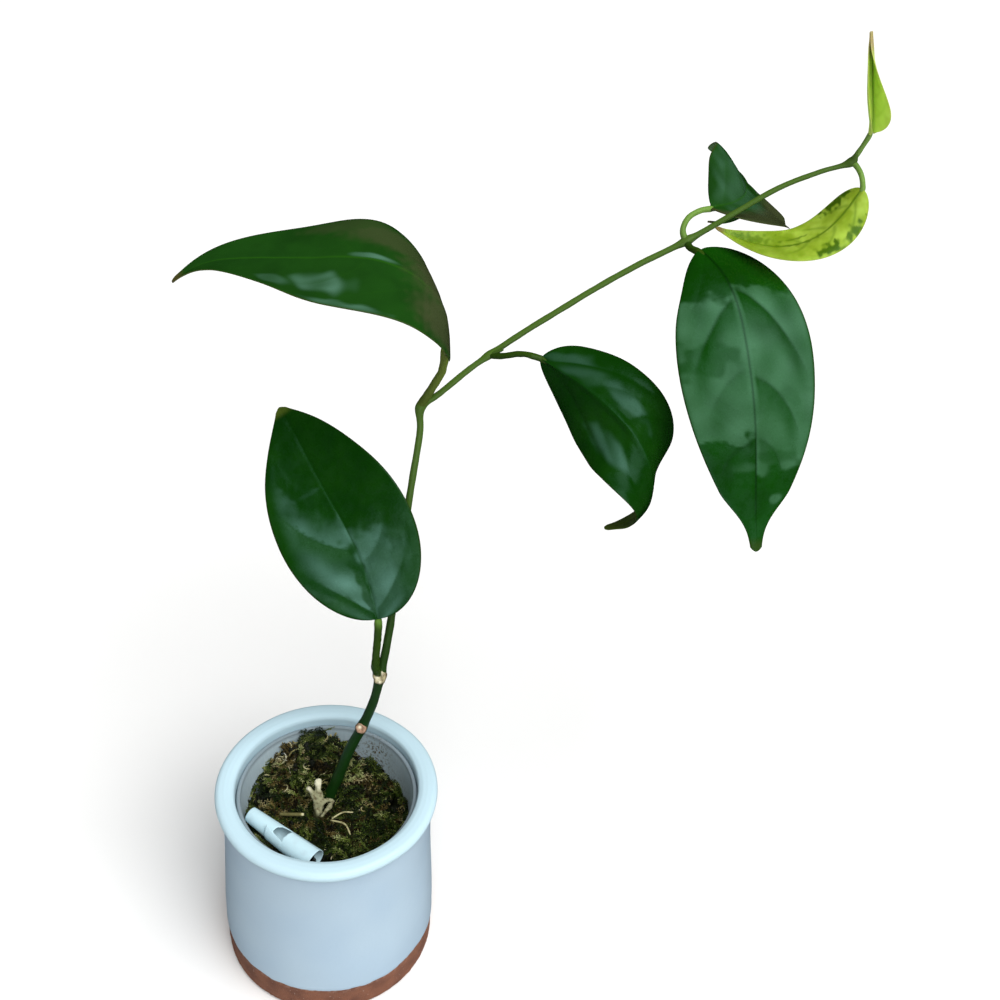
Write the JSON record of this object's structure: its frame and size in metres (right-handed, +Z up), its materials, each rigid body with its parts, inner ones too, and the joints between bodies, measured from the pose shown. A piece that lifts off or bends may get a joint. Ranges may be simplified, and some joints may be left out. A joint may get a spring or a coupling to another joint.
{
  "type": "potted hoya halconensis",
  "caption": "Young climbing hoya vine with glossy pointed leaves, growing from moss in a thin nursery pot set in a glazed clay pot with a rolled lip.",
  "frame": {"origin": "centre of the pot's foot, on the surface that the pot stands on", "axes": "+Z up; +X to the viewer's right, the way the vine leans; +Y away from the viewer"},
  "size_m": [0.2488, 0.182, 0.4133],
  "materials": {
    "glazed_clay": "pale blue-white gloss glaze over terracotta, bare clay band at the foot",
    "nursery_plastic": "thin translucent grey-white plastic, dusty",
    "moss": "damp green-brown sphagnum moss with pale strands",
    "dead_wood": "dry pale bark",
    "label_plastic": "blank white plastic, satin",
    "green_stem": "smooth dark green stem, satin",
    "grown_leaf": "dark green, waxy, glossy",
    "young_leaf": "lime green, thin, satin"
  },
  "bodies": {
    "root": {"ceramic_pot": "glazed_clay", "nursery_pot": "nursery_plastic", "moss": "moss", "dry_root": "dead_wood", "plant_label": "label_plastic", "main_stem": "green_stem", "leaf_lower_left": "grown_leaf", "leaf_upper_left": "grown_leaf", "leaf_middle": "grown_leaf", "leaf_hanging": "grown_leaf", "leaf_behind": "grown_leaf", "young_leaf_curled": "young_leaf", "youngest_leaf": "young_leaf"}
  },
  "joints": []
}
